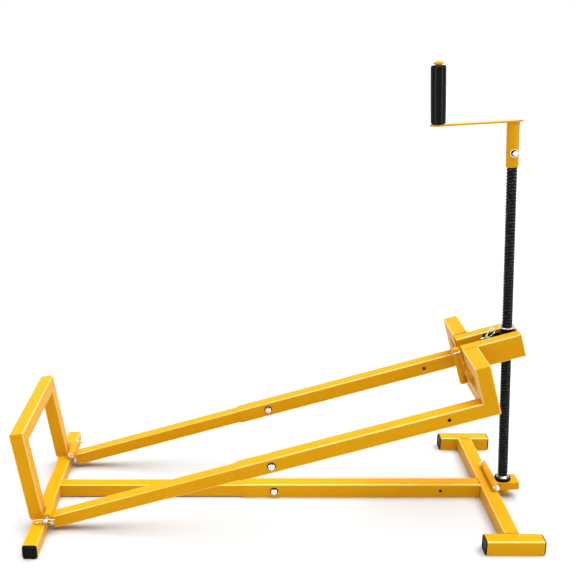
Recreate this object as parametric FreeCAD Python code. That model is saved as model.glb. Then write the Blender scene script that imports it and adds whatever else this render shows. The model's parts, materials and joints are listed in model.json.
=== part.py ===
"""Lawn mower lift: a floor frame, a lift frame hinged to its rear tube, and an upright
threaded spindle that raises the front of the lift frame through a trunnion nut.

Millimetres. X runs along the base from the rear cross tube (-X) to the spindle (+X),
Y across, Z up. The origin is on the floor, under the middle of the front cross tube.
"""
import FreeCAD, Part
import math
import os

from FreeCAD import Placement, Rotation, Vector

# Overall sizes
arm_reach = 1240.0          # rear hinge line to the front frame's front face
base_width = 624.0          # across the outer faces of the two feet
rear_width = 650.0          # rear cross tube, over its end plugs
frame_width = 392.0         # across the outer faces of the two arms, and of the hoop
rest_tilt = 16.2            # lift frame above level, in degrees
rest_lean = 3.4             # spindle's lean from upright towards the rear, in degrees
hoop_lean = 8.6             # hoop's lean backwards, in degrees

# Square tubes
tube = 42.0
rear_tube = 39.0            # rear cross tube and the hoop
tube_wall = 2.5
tube_corner = 4.0
slide_gap = 0.3             # each side, between the inner and the outer tube
bore_relief = 0.15          # radial play of a bolt in its hole
overrun = 2.0               # how far a cutting solid runs past what it cuts

# Telescopic joints
bolt_setback = 92.0         # outer tube's mouth to the locking bolt
base_hole_inset = 136.0     # front cross tube's centre to the base beam's spare hole
arm_hole_inset = 135.0      # front frame's front face to the arm's spare hole
inner_past_bolt = 40.0      # inner tube's length beyond the locking bolt
base_mouth = 712.0          # front cross tube's centre to the outer base tube's mouth
arm_mouth = 529.0           # rear hinge to the outer arm tube's mouth
lock_bolt_d = 10.0
lock_head_d = 19.6
lock_head_t = 6.4
lock_nut_t = 8.0

# Feet and plugs
foot_length = 150.0
plug_lip = 3.5
plug_depth = 14.0
plug_gap = 0.1

# Hoop
hoop_height = 292.0         # floor to the top of the hoop, on its centre line
hoop_offset = 8.6           # leg's centre behind the rear cross tube's centre

# Rear hinges
knuckle_d = 22.0
hinge_overhang = 3.9        # hinge line in front of the rear cross tube's front face
knuckle_rise = 3.0          # fixed knuckles' underside above the rear cross tube
hitch_d = 12.0
hitch_play = 0.05
arm_knuckle_length = 36.0
fixed_knuckle_length = 18.0
knuckle_gap = 0.5
arm_end_gap = 4.0           # arm's cut end in front of the hinge line
hitch_head_d = 18.0
hitch_head_t = 4.0
hitch_tail = 22.0           # pin beyond the outer knuckle
clip_wire = 3.0
clip_play = 0.1
clip_eye = 5.7              # eye's radius, to the wire's middle
clip_drop = 50.0            # slope of the leg that steps down to the shaft, in degrees
clip_flare = 28.0           # slope of that leg's tip
clip_lead_share = 2.2       # straight leg from the shaft to the eye, in shaft diameters
clip_tail_share = 1.9       # straight leg from the shaft to its tip
clip_inset = 10.0           # clip's leg from the pin's tail end
saddle_width = 9.0

# Front frame
frame_height = 142.0        # arm's underside to the upper cross tube's top

# Prongs
prong_gap = 42.0
prong_width = 36.0
prong_height = 66.0
prong_wall = 3.0
prong_ahead = 121.0         # front frame's front face to the prongs' front ends
prong_plate_t = 5.0

# Hanging pin and its ring
hang_pin_d = 20.0
hang_pin_drop = 14.0        # pin's top below the upper cross tube's top
hang_pin_length = 110.0

# Spindle foot
spindle_hinge_x = 13.0
spindle_knuckle_d = 20.0
knuckle_clear = 0.4         # moving knuckle above the front cross tube
spindle_offset = 34.0       # hinge line to the spindle's axis
near_knuckle_length = 28.0
far_knuckle_length = 27.0
moving_knuckle_length = 77.0
hinge_bolt_d = 12.0
hinge_head_d = 21.0
hinge_head_t = 7.5
hinge_nut_t = 10.0
block_length = 57.0
block_width = 50.0
block_height = 24.0
block_start = 19.0          # hinge line to the block's rear face
block_top = -4.0            # block's top against the hinge line
web_width = 44.0
web_t = 5.0
block_corner = 1.5

# Spindle
spindle_d = 28.0
spindle_end_d = 25.0        # turned down inside the sleeve
spindle_play = 0.08
journal_d = 20.0
race_d = 46.0
race_t = 7.0
race_gap = 0.3
upper_race_d = 37.0
retaining_nut_d = 34.0
retaining_nut_t = 16.0
sleeve_start = 914.0        # hinge line to the sleeve's lower end, along the spindle
sleeve_d = 33.0
sleeve_length = 117.0
sleeve_bolt_rise = 38.0
sleeve_grip = 90.0          # spindle's length inside the sleeve
sleeve_bolt_d = 8.0
sleeve_washer_d = 21.0
sleeve_washer_t = 1.8
sleeve_head_d = 15.0

# Crank
crank_radius = 193.0
crank_width = 32.0
crank_t = 5.0
crank_tail = 26.0           # spindle's axis to the arm's short end
crank_tip = 21.0            # grip's axis to the arm's long end
grip_d = 40.0
grip_length = 148.0
grip_gap = 0.3
grip_rod_d = 12.0
grip_play = 0.1
grip_head_d = 27.0
grip_head_t = 8.0
grip_neck_d = 16.0
grip_neck_t = 2.0
grip_round = 4.0

# Lift nut
nut_ahead = 89.3            # front frame's front face to the nut's centre, at rest
nut_height_share = 0.5      # nut's centre, as a share of the prongs' height
nut_length = 40.0
nut_height = 36.0
nut_side_gap = 0.8
nut_corner = 3.0
nut_collar_d = 34.0
trunnion_d = 16.0
trunnion_reach = 10.0       # pin's length beyond the prong's inner face
slot_play = 0.4
washer_d = 46.0
washer_t = 3.0
washer_lift = 1.0           # washer's lowest point above the prongs

# Travel of the lift frame from rest, and how the spindle and its nut follow it
lowest_tilt = -13.0
highest_tilt = 18.0
lean_per_tilt = 0.74
climb_share = 0.9385        # nut's climb per radian, over the rear hinge line's distance to the nut

# Keeper pin behind the lift nut and its wire clip
keeper_d = 10.0
keeper_back = 53.5          # spindle's axis to the keeper pin
keeper_rise = 11.0          # keeper pin above the nut's side pins
ear_t = 4.0
ear_reach = 8.0             # ear's end beyond the keeper pin's middle
keeper_slope = 38.0         # clip's slope down to the rear, in degrees
keeper_wire = 3.5
keeper_eye = 8.5

# Drill adapter
adapter_d = 29.2
adapter_length = 100.0
adapter_bore = 25.4
adapter_bore_depth = 62.0
adapter_shank_d = 16.0
adapter_shank_length = 32.0
adapter_pin_d = 8.4
adapter_pin_inset = 14.0
adapter_round = 4.0
adapter_lead = 60.0         # base beam's locking bolt to the adapter's open end

# Worked out from the sizes above
inner_tube = tube - 2 * tube_wall - 2 * slide_gap
half_tube = tube / 2
half_rear = rear_tube / 2
half_inner = inner_tube / 2
side_y = frame_width / 2 - half_tube
hoop_y = frame_width / 2 - half_rear
hinge_z = rear_tube + knuckle_d / 2 + knuckle_rise
arm_n = -(knuckle_d / 2 + half_inner)
frame_bottom = arm_n - half_tube
frame_top = frame_bottom + frame_height
post_e = arm_reach - half_tube
prong_reach = arm_reach + prong_ahead
prong_n = frame_top - prong_height * nut_height_share
nut_reach = arm_reach + nut_ahead
climb_per_radian = climb_share * nut_reach
spindle_hinge_z = tube + spindle_knuckle_d / 2 + knuckle_clear


def turned(e, n, tilt):
    """World X and Z of a direction given along and square to a part that is tilted up."""
    slope = math.radians(tilt)
    return e * math.cos(slope) - n * math.sin(slope), e * math.sin(slope) + n * math.cos(slope)


# The lift nut sits between the prongs and on the spindle at once, which sets how long the base is
nut_x, nut_z = turned(nut_reach, prong_n, rest_tilt)
nut_rise = hinge_z + nut_z - spindle_hinge_z - spindle_offset * math.sin(math.radians(rest_lean))
nut_rest = nut_rise / math.cos(math.radians(rest_lean))
hinge_x = spindle_hinge_x + turned(spindle_offset, nut_rest, rest_lean)[0] - nut_x
cross_spacing = half_rear + hinge_overhang - hinge_x


def box(x0, x1, y0, y1, z0, z1):
    """Block between opposite corners."""
    return Part.makeBox(x1 - x0, y1 - y0, z1 - z0, Vector(x0, y0, z0))


def rod(diameter, start, end):
    """Round bar from one point to another."""
    start = Vector(*start)
    run = Vector(*end) - start
    return Part.makeCylinder(diameter / 2, run.Length, start, run)


def rounded_bar(side_a, side_b, corner, length):
    """Bar with rounded corners, along +X from the origin, centred on the X axis."""
    bar = box(0, length, -side_a / 2, side_a / 2, -side_b / 2, side_b / 2)
    long_edges = [edge for edge in bar.Edges if abs(edge.tangentAt(edge.FirstParameter).x) > 0.5]
    return bar.makeFillet(corner, long_edges)


def tube_bar(side_a, side_b, wall, corner, length):
    """Rectangular tube along +X from the origin, open at both ends."""
    outside = rounded_bar(side_a, side_b, corner, length)
    inside = rounded_bar(side_a - 2 * wall, side_b - 2 * wall, corner - wall / 2,
                         length + 2 * overrun)
    inside.translate(Vector(-overrun, 0, 0))
    return outside.cut(inside)


def put(shape, place):
    """A finished piece moved from its group's own frame to its place at rest."""
    out = shape.copy()
    out.Placement = place.multiply(out.Placement)
    return out


def laid(shape, at, axis):
    """A bar made along +X, moved so that it starts at a point and runs along an axis."""
    turns = {"x": Rotation(), "y": Rotation(Vector(0, 0, 1), 90), "z": Rotation(Vector(0, 1, 0), -90)}
    return put(shape, Placement(Vector(*at), turns[axis]))


def hexagon(across_corners, height, at, axis):
    """Hexagonal prism from a point along an axis."""
    corners = [Vector(0, across_corners / 2 * math.cos(math.radians(60 * i)),
                      across_corners / 2 * math.sin(math.radians(60 * i))) for i in range(7)]
    prism = Part.Face(Part.makePolygon(corners)).extrude(Vector(height, 0, 0))
    return laid(prism, at, axis)


def mitre(shape, corner, direction):
    """Cut away what lies past a 45 degree plane through a corner, on the direction's side."""
    reach = 4 * tube
    wedge = box(0, reach, -reach, reach, -reach, reach)
    wedge.Placement = Placement(Vector(*corner), Rotation(Vector(1, 0, 0), Vector(*direction)))
    return shape.cut(wedge)


def through_bolt(x, z, y_mid, width, shank, head, head_t, nut_t):
    """Bolt across a tube along Y: head on the -Y side, nut on the +Y side."""
    near = y_mid - width / 2
    far = y_mid + width / 2
    tip = far + nut_t + shank / 4
    bolt = rod(shank, (x, near, z), (x, tip, z))
    bolt = bolt.fuse(hexagon(head, head_t, (x, near - head_t, z), "y"))
    nut = hexagon(head, nut_t, (x, far, z), "y").cut(rod(shank, (x, near, z), (x, tip + overrun, z)))
    return bolt, nut


def cross_hole(x, z, y_mid):
    """Cutting rod for a locking bolt's hole, through a tube along Y."""
    return rod(lock_bolt_d + 2 * bore_relief, (x, y_mid - tube, z), (x, y_mid + tube, z))


def end_plug(side, at, axis, outward):
    """Plastic plug for a tube's end: a lip that covers the edge and a spigot in the bore."""
    lip = rounded_bar(side, side, tube_corner, plug_lip)
    lip = lip.makeFillet(plug_lip / 2, [edge for edge in lip.Edges
                                        if edge.BoundBox.XMin > plug_lip - plug_gap])
    bore = side - 2 * tube_wall - 2 * plug_gap
    spigot = rounded_bar(bore, bore, tube_corner - tube_wall / 2, plug_depth)
    spigot.translate(Vector(-plug_depth, 0, 0))
    plug = lip.fuse(spigot)
    if outward < 0:
        plug.rotate(Vector(), Vector(0, 0, 1), 180)
    return laid(plug, at, axis)


def wire_path(points, wire):
    """Round wire swept along straight runs and arcs. A point of three is an arc's middle and end."""
    edges = []
    here = Vector(*points[0])
    for step in points[1:]:
        if isinstance(step[0], (tuple, list)):
            edges.append(Part.Arc(here, Vector(*step[0]), Vector(*step[1])).toShape())
            here = Vector(*step[1])
        else:
            edges.append(Part.LineSegment(here, Vector(*step)).toShape())
            here = Vector(*step)
    path = Part.Wire(edges)
    start = edges[0].tangentAt(edges[0].FirstParameter)
    ring = Part.Wire(Part.makeCircle(wire / 2, Vector(*points[0]), start))
    return path.makePipeShell([ring], True, False)


def bent_wire(start, along, up, wire, moves):
    """Wire from a start point: a move is a straight length, or a radius and the degrees it turns."""
    here = Vector(*start)
    along = Vector(*along)
    up = Vector(*up)
    heading = 0.0
    steps = []
    for move in moves:
        ahead = along * math.cos(heading) + up * math.sin(heading)
        if not isinstance(move, tuple):
            here = here + ahead * move
            steps.append(tuple(here))
            continue
        radius, turn = move
        side = math.copysign(1, turn)
        centre = here + (up * math.cos(heading) - along * math.sin(heading)) * (side * radius)
        ends = []
        for share in (0.5, 1.0):
            angle = heading + math.radians(turn) * share
            ends.append(centre - (up * math.cos(angle) - along * math.sin(angle)) * (side * radius))
        heading += math.radians(turn)
        here = ends[1]
        steps.append((tuple(ends[0]), tuple(ends[1])))
    return wire_path([tuple(start)] + steps, wire)


def retaining_clip(centre, along, up, shaft, eye, wire):
    """Wire clip: a straight leg through a shaft's cross hole, an eye, and a leg that hugs the shaft."""
    hug = shaft / 2 + wire / 2 + clip_play
    drop = math.radians(clip_drop)
    settle = (2 * eye - hug) / (2 * (1 - math.cos(drop)))
    fall = 2 * settle * math.sin(drop)
    lead = max(fall, clip_lead_share * shaft)
    tail = clip_tail_share * shaft
    start = Vector(*centre) + Vector(*along) * tail
    back = Vector(*along) * -1
    moves = [tail + lead, (eye, 180.0), (settle, clip_drop), (settle, -clip_drop),
             lead - fall + shaft / 2, (2 * wire, -clip_flare), 2 * wire]
    return bent_wire(tuple(start), tuple(back), up, wire, moves)


nodes = {}


def add(name, shape, place=Placement()):
    """Keep a piece under its node's name."""
    nodes[name] = put(shape, place)


# Base beam and cross tubes

beam = laid(tube_bar(tube, tube, tube_wall, tube_corner, base_mouth - half_tube),
            (-base_mouth, 0, half_tube), "x")
base_bolt_x = -base_mouth + bolt_setback
for hole_x in (base_bolt_x, -base_hole_inset):
    beam = beam.cut(cross_hole(hole_x, half_tube, 0))
add("base_beam_outer", beam)

inner_start = -cross_spacing + half_rear
inner_end = base_bolt_x + inner_past_bolt
inner_beam = laid(tube_bar(inner_tube, inner_tube, tube_wall, tube_corner - tube_wall / 2,
                           inner_end - inner_start), (inner_start, 0, half_tube), "x")
add("base_beam_inner", inner_beam.cut(cross_hole(base_bolt_x, half_tube, 0)))

bolt, nut = through_bolt(base_bolt_x, half_tube, 0, tube, lock_bolt_d, lock_head_d, lock_head_t,
                         lock_nut_t)
add("base_beam_bolt", bolt)
add("base_beam_nut", nut)

front_length = base_width - 2 * tube
add("front_cross_tube", laid(tube_bar(tube, tube, tube_wall, tube_corner, front_length),
                             (0, -front_length / 2, half_tube), "y"))
rear_length = rear_width - 2 * plug_lip
add("rear_cross_tube", laid(tube_bar(rear_tube, rear_tube, tube_wall, tube_corner, rear_length),
                            (-cross_spacing, -rear_length / 2, half_rear), "y"))

for side, word in ((-1, "near"), (1, "far")):
    foot_y = side * (base_width / 2 - half_tube)
    add(f"{word}_foot", laid(tube_bar(tube, tube, tube_wall, tube_corner, foot_length),
                             (-foot_length / 2, foot_y, half_tube), "x"))
    add(f"{word}_foot_plugs", Part.makeCompound(
        [end_plug(tube, (end * foot_length / 2, foot_y, half_tube), "x", end) for end in (-1, 1)]))
add("rear_plugs", Part.makeCompound(
    [end_plug(rear_tube, (-cross_spacing, end * rear_length / 2, half_rear), "y", end)
     for end in (-1, 1)]))


# Hoop that leans back from the rear cross tube

hoop_place = Placement(Vector(-cross_spacing - hoop_offset, 0, rear_tube),
                       Rotation(Vector(0, -1, 0), hoop_lean))
leg_top = (hoop_height - rear_tube) / math.cos(math.radians(hoop_lean))
half_hoop = frame_width / 2
for side, word in ((-1, "near"), (1, "far")):
    leg = laid(tube_bar(rear_tube, rear_tube, tube_wall, tube_corner, leg_top + rear_tube),
               (0, side * hoop_y, -rear_tube), "z")
    leg = mitre(leg, (0, side * half_hoop, leg_top), (0, -side, 1))
    leg = put(leg, hoop_place)
    add(f"{word}_hoop_leg", leg.cut(box(-2 * cross_spacing, 0, -base_width, base_width,
                                        -rear_tube, rear_tube)))
top_bar = laid(tube_bar(rear_tube, rear_tube, tube_wall, tube_corner, frame_width),
               (0, -half_hoop, leg_top - half_rear), "y")
for side in (-1, 1):
    top_bar = mitre(top_bar, (0, side * half_hoop, leg_top), (0, side, -1))
add("hoop_top_bar", top_bar, hoop_place)


# Rear hinges: fixed knuckles on the cross tube, a hitch pin and its clip on each side

knuckle_bore = hitch_d + 2 * hitch_play
reach_in = arm_knuckle_length / 2 + knuckle_gap
face_x = -cross_spacing + half_rear
for side, word in ((-1, "near"), (1, "far")):
    knuckles = []
    for part_side in (-1, 1):
        inner_y = side * side_y + part_side * reach_in
        outer_y = inner_y + part_side * fixed_knuckle_length
        barrel = rod(knuckle_d, (hinge_x, inner_y, hinge_z), (hinge_x, outer_y, hinge_z))
        low_y, high_y = sorted((inner_y, outer_y))
        saddle = box(face_x - tube_corner - saddle_width / 2, hinge_x, low_y, high_y, rear_tube, hinge_z)
        bore = rod(knuckle_bore, (hinge_x, low_y - overrun, hinge_z), (hinge_x, high_y + overrun, hinge_z))
        knuckles.append(barrel.fuse(saddle).cut(bore))
    add(f"{word}_rear_knuckles", Part.makeCompound(knuckles))

    barrel_end = reach_in + fixed_knuckle_length
    inner_y = side * (side_y - barrel_end)
    tail_y = side * (side_y + barrel_end + hitch_tail)
    clip_y = tail_y - side * clip_inset
    pin = rod(hitch_d, (hinge_x, inner_y, hinge_z), (hinge_x, tail_y, hinge_z))
    pin = pin.fuse(rod(hitch_head_d, (hinge_x, inner_y, hinge_z),
                       (hinge_x, inner_y - side * hitch_head_t, hinge_z)))
    clip_hole = rod(clip_wire + 2 * clip_play, (hinge_x - hitch_d, clip_y, hinge_z),
                    (hinge_x + hitch_d, clip_y, hinge_z))
    add(f"{word}_hitch_pin", pin.cut(clip_hole))
    add(f"{word}_hitch_clip", retaining_clip((hinge_x, clip_y, hinge_z), (1, 0, 0), (0, 0, 1), hitch_d,
                                                clip_eye, clip_wire))


# Lift frame, drawn level with its hinge line at the origin

frame_place = Placement(Vector(hinge_x, 0, hinge_z), Rotation(Vector(0, -1, 0), rest_tilt))
arm_bolt_e = arm_mouth + bolt_setback
for side, word in ((-1, "near"), (1, "far")):
    arm_y = side * side_y
    knuckle = rod(knuckle_d, (0, arm_y - arm_knuckle_length / 2, 0), (0, arm_y + arm_knuckle_length / 2, 0))
    weld_y = min(arm_knuckle_length, inner_tube) / 2 - tube_corner
    knuckle = knuckle.fuse(box(arm_end_gap, arm_end_gap + saddle_width / 2, arm_y - weld_y,
                               arm_y + weld_y, -knuckle_d / 2, 0))
    knuckle = knuckle.cut(rod(knuckle_bore, (0, arm_y - tube, 0), (0, arm_y + tube, 0)))
    add(f"{word}_arm_knuckle", knuckle, frame_place)

    inner_length = arm_bolt_e + inner_past_bolt - arm_end_gap
    inner_arm = laid(tube_bar(inner_tube, inner_tube, tube_wall, tube_corner - tube_wall / 2,
                              inner_length), (arm_end_gap, arm_y, arm_n), "x")
    add(f"{word}_arm_inner", inner_arm.cut(cross_hole(arm_bolt_e, arm_n, arm_y)), frame_place)

    outer_arm = laid(tube_bar(tube, tube, tube_wall, tube_corner, arm_reach - arm_mouth),
                     (arm_mouth, arm_y, arm_n), "x")
    outer_arm = mitre(outer_arm, (arm_reach, arm_y, frame_bottom), (1, 0, 1))
    for hole_e in (arm_bolt_e, arm_reach - arm_hole_inset):
        outer_arm = outer_arm.cut(cross_hole(hole_e, arm_n, arm_y))
    add(f"{word}_arm_outer", outer_arm, frame_place)

    post = laid(tube_bar(tube, tube, tube_wall, tube_corner, frame_height),
                (post_e, arm_y, frame_bottom), "z")
    post = mitre(post, (arm_reach, arm_y, frame_bottom), (-1, 0, -1))
    post = mitre(post, (post_e, side * frame_width / 2, frame_top), (0, -side, 1))
    add(f"{word}_post", post, frame_place)

    prong_face = prong_gap / 2 + prong_width
    upper = laid(tube_bar(tube, tube, tube_wall, tube_corner, frame_width / 2 - prong_face),
                 (post_e, prong_face if side > 0 else -frame_width / 2, frame_top - half_tube), "y")
    upper = mitre(upper, (post_e, side * frame_width / 2, frame_top), (0, side, -1))
    add(f"{word}_upper_tube", upper, frame_place)

fasteners = [through_bolt(arm_bolt_e, arm_n, side * side_y, tube, lock_bolt_d, lock_head_d,
                          lock_head_t, lock_nut_t) for side in (-1, 1)]
add("arm_bolts", Part.makeCompound([bolt for bolt, _ in fasteners]), frame_place)
add("arm_nuts", Part.makeCompound([nut for _, nut in fasteners]), frame_place)

lower_length = frame_width - 2 * tube
lower_n = frame_bottom + half_tube
add("lower_cross_tube", laid(tube_bar(tube, tube, tube_wall, tube_corner, lower_length),
                             (post_e, -lower_length / 2, lower_n), "y"), frame_place)


# Where the spindle's axis crosses the middle of the prongs, at rest and along the travel

def in_frame(travel, climb):
    """The nut's centre in the lift frame, once the frame has swung through a travel."""
    lean = rest_lean + lean_per_tilt * travel
    off_x, off_z = turned(spindle_offset, climb, lean)
    return turned(spindle_hinge_x + off_x - hinge_x, spindle_hinge_z + off_z - hinge_z,
                  -(rest_tilt + travel))


track = []
for step in range(-24, 25):
    travel = highest_tilt * step / 24 if step > 0 else -lowest_tilt * step / 24
    climb = nut_rest + climb_per_radian * math.radians(travel)
    track.append(in_frame(travel, climb) + (rest_tilt + travel - rest_lean - lean_per_tilt * travel,))


# Prongs beside the spindle, slotted for the nut's side pins, and the plate across their ends

slot_r = trunnion_d / 2 + slot_play
slot_e = (min(at[0] for at in track), max(at[0] for at in track))
slot_n = (min(at[1] for at in track), max(at[1] for at in track))
prong_start = arm_reach - tube
prong_length = prong_reach - prong_plate_t - prong_start
for side, word in ((-1, "near"), (1, "far")):
    prong_y = side * (prong_gap + prong_width) / 2
    prong = laid(tube_bar(prong_width, prong_height, prong_wall, tube_corner, prong_length),
                 (prong_start, prong_y, frame_top - prong_height / 2), "x")
    low_y, high_y = sorted((side * (prong_gap / 2 - overrun), side * (prong_gap / 2 + prong_wall + overrun)))
    slot = box(slot_e[0] - slot_r, slot_e[1] + slot_r, low_y, high_y, slot_n[0] - slot_r, slot_n[1] + slot_r)
    slot = slot.makeFillet(slot_r - slot_play, [edge for edge in slot.Edges
                                                if abs(edge.tangentAt(edge.FirstParameter).y) > 0.5])
    add(f"{word}_prong", prong.cut(slot), frame_place)
plate = box(prong_reach - prong_plate_t, prong_reach, -prong_face, prong_face,
            frame_top - prong_height, frame_top)
add("prong_end_plate", plate.makeFillet(prong_plate_t / 3, [
    edge for edge in plate.Edges if edge.BoundBox.XMin > prong_reach - prong_plate_t / 2]), frame_place)


# Hanging pin against the rear of the front frame, with the ring at its top

hang_e = prong_start - hang_pin_d / 2
hang_top = frame_top - hang_pin_drop
hang_pin = rod(hang_pin_d, (hang_e, 0, hang_top - hang_pin_length), (hang_e, 0, hang_top))
hang_pin = hang_pin.makeChamfer(hang_pin_d / 8, [edge for edge in hang_pin.Edges
                                                 if edge.Closed and len(edge.Vertexes) == 1])
ring_n = hang_top - hang_pin_d / 2
hang_ring = Part.makeTorus((hang_pin_d + clip_wire) / 2, clip_wire / 2, Vector(hang_e, 0, ring_n))
add("hanging_pin", hang_pin, frame_place)
add("hanging_pin_ring", hang_ring, frame_place)


# Spindle foot, drawn with its hinge line at the origin and the spindle upright

foot_place = Placement(Vector(spindle_hinge_x, 0, spindle_hinge_z), Rotation(Vector(0, -1, 0), rest_lean))
hinge_bore = hinge_bolt_d + 2 * hitch_play
moving_far = moving_knuckle_length - block_width / 2
moving_near = -block_width / 2
near_inner = moving_near - knuckle_gap
far_inner = moving_far + knuckle_gap
near_end = near_inner - near_knuckle_length
far_end = far_inner + far_knuckle_length
fixed = []
for start_y, end_y in ((near_end, near_inner), (far_inner, far_end)):
    barrel = rod(spindle_knuckle_d, (spindle_hinge_x, start_y, spindle_hinge_z),
                 (spindle_hinge_x, end_y, spindle_hinge_z))
    saddle = box(spindle_hinge_x - saddle_width / 2, half_tube - tube_corner, start_y, end_y, tube,
                 spindle_hinge_z)
    bore = rod(hinge_bore, (spindle_hinge_x, start_y - overrun, spindle_hinge_z),
               (spindle_hinge_x, end_y + overrun, spindle_hinge_z))
    fixed.append(barrel.fuse(saddle).cut(bore))
add("spindle_fixed_knuckles", Part.makeCompound(fixed))

hinge_bolt = rod(hinge_bolt_d, (spindle_hinge_x, near_end, spindle_hinge_z),
                 (spindle_hinge_x, far_end + hinge_nut_t + hinge_bolt_d / 4, spindle_hinge_z))
add("spindle_hinge_bolt", hinge_bolt.fuse(
    hexagon(hinge_head_d, hinge_head_t, (spindle_hinge_x, near_end - hinge_head_t, spindle_hinge_z), "y")))
add("spindle_hinge_nut", hexagon(hinge_head_d, hinge_nut_t, (spindle_hinge_x, far_end, spindle_hinge_z), "y")
    .cut(rod(hinge_bolt_d, (spindle_hinge_x, far_end - overrun, spindle_hinge_z),
             (spindle_hinge_x, far_end + 2 * hinge_nut_t, spindle_hinge_z))))

axis_x = spindle_offset
journal_hole = rod(journal_d + 2 * spindle_play, (axis_x, 0, -2 * block_height), (axis_x, 0, block_height))
moving_knuckle = rod(spindle_knuckle_d, (0, moving_near, 0), (0, moving_far, 0))
web = box(0, block_start, moving_near, moving_near + web_width,
          block_top - web_t, block_top)
moving_knuckle = moving_knuckle.fuse(web)
add("spindle_moving_knuckle", moving_knuckle.cut(
    rod(hinge_bore, (0, moving_near - overrun, 0), (0, moving_far + overrun, 0))), foot_place)
block = box(block_start, block_start + block_length, -block_width / 2, block_width / 2,
            block_top - block_height, block_top)
block = block.makeFillet(block_corner, block.Edges)
add("pivot_block", block.cut(journal_hole), foot_place)
race_base = block_top
lower_race = rod(race_d, (axis_x, 0, race_base), (axis_x, 0, race_base + race_t)).cut(journal_hole)
add("lower_race", lower_race, foot_place)


# Spindle with its crank, drawn in the spindle foot's frame

shoulder = race_base + race_t + race_gap
upper_top = shoulder + race_t
spindle_top = sleeve_start + sleeve_grip
nut_top = block_top - block_height - race_gap
nut_bottom = nut_top - retaining_nut_t
spindle = rod(spindle_end_d, (axis_x, 0, upper_top), (axis_x, 0, spindle_top))
spindle = spindle.makeChamfer(spindle_end_d / 12, [edge for edge in spindle.Edges
                                                   if edge.BoundBox.ZMin > spindle_top - spindle_end_d / 4])
spindle = spindle.fuse(rod(spindle_d, (axis_x, 0, upper_top), (axis_x, 0, sleeve_start)))
spindle = spindle.fuse(rod(journal_d, (axis_x, 0, nut_bottom), (axis_x, 0, upper_top)))
bolt_v = sleeve_start + sleeve_bolt_rise
sleeve_hole = rod(sleeve_bolt_d + 2 * bore_relief, (axis_x, -sleeve_d, bolt_v), (axis_x, sleeve_d, bolt_v))
add("lead_screw", spindle.cut(sleeve_hole), foot_place)
add("upper_race", rod(upper_race_d, (axis_x, 0, shoulder), (axis_x, 0, upper_top)).cut(
    rod(journal_d, (axis_x, 0, shoulder - overrun), (axis_x, 0, upper_top + overrun))), foot_place)
add("retaining_nut", hexagon(retaining_nut_d, retaining_nut_t, (axis_x, 0, nut_bottom), "z").cut(
    rod(journal_d, (axis_x, 0, nut_bottom - overrun), (axis_x, 0, nut_top + overrun))), foot_place)

sleeve_top = sleeve_start + sleeve_length
sleeve = rod(sleeve_d, (axis_x, 0, sleeve_start), (axis_x, 0, sleeve_top))
sleeve = sleeve.cut(rod(spindle_end_d + 2 * bore_relief, (axis_x, 0, sleeve_start - overrun),
                        (axis_x, 0, spindle_top + overrun)))
add("crank_sleeve", sleeve.cut(sleeve_hole), foot_place)

face_y = sleeve_d / 2
sleeve_bolt = rod(sleeve_bolt_d, (axis_x, -face_y - sleeve_washer_t, bolt_v),
                  (axis_x, face_y + lock_nut_t + sleeve_bolt_d / 4, bolt_v))
sleeve_bolt = sleeve_bolt.fuse(hexagon(sleeve_head_d, lock_head_t, (
    axis_x, -face_y - sleeve_washer_t - lock_head_t, bolt_v), "y"))
add("crank_bolt", sleeve_bolt, foot_place)
sleeve_core = rod(sleeve_d, (axis_x, 0, sleeve_start), (axis_x, 0, sleeve_top))
shank_hole = rod(sleeve_bolt_d, (axis_x, -tube, bolt_v), (axis_x, tube, bolt_v))
seat = face_y - sleeve_washer_t
washer = rod(sleeve_washer_d, (axis_x, -face_y - sleeve_washer_t, bolt_v), (axis_x, -seat, bolt_v))
add("crank_washer", washer.cut(sleeve_core).cut(shank_hole), foot_place)
crank_nut = hexagon(sleeve_head_d, lock_nut_t + sleeve_washer_t, (axis_x, seat, bolt_v), "y")
add("crank_nut", crank_nut.cut(sleeve_core).cut(shank_hole), foot_place)

grip_x = axis_x - crank_radius
arm_low = sleeve_top
arm_high = arm_low + crank_t
crank_arm = box(grip_x - crank_tip, axis_x + crank_tail, -crank_width / 2, crank_width / 2, arm_low, arm_high)
crank_arm = crank_arm.makeFillet(crank_width / 2 - crank_t / 4, [
    edge for edge in crank_arm.Edges if abs(edge.tangentAt(edge.FirstParameter).z) > 0.5])
rod_hole = rod(grip_rod_d, (grip_x, 0, arm_low - overrun), (grip_x, 0, arm_high + overrun))
add("crank_arm", crank_arm.cut(rod_hole), foot_place)

grip_low = arm_high + grip_gap
grip_top = grip_low + grip_length
neck_low = grip_top + grip_gap
head_low = neck_low + grip_neck_t
grip_rod = rod(grip_rod_d, (grip_x, 0, arm_low), (grip_x, 0, head_low))
grip_rod = grip_rod.fuse(rod(grip_neck_d, (grip_x, 0, neck_low), (grip_x, 0, head_low)))
dome_r = (grip_head_d ** 2 / 4 + grip_head_t ** 2) / (2 * grip_head_t)
dome = Part.makeSphere(dome_r, Vector(grip_x, 0, head_low + grip_head_t - dome_r)).common(
    rod(grip_head_d, (grip_x, 0, head_low), (grip_x, 0, head_low + 2 * grip_head_t)))
add("grip_rod", grip_rod.fuse(dome), foot_place)
grip = rod(grip_d, (grip_x, 0, grip_low), (grip_x, 0, grip_top))
grip = grip.makeFillet(grip_round, [edge for edge in grip.Edges if edge.Closed and len(edge.Vertexes) == 1])
add("crank_grip", grip.cut(rod(grip_rod_d + 2 * grip_play, (grip_x, 0, grip_low - overrun),
                               (grip_x, 0, grip_top + overrun))), foot_place)


# Lift nut: a block between the prongs, two side pins in their slots, a collar and a flange washer

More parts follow.
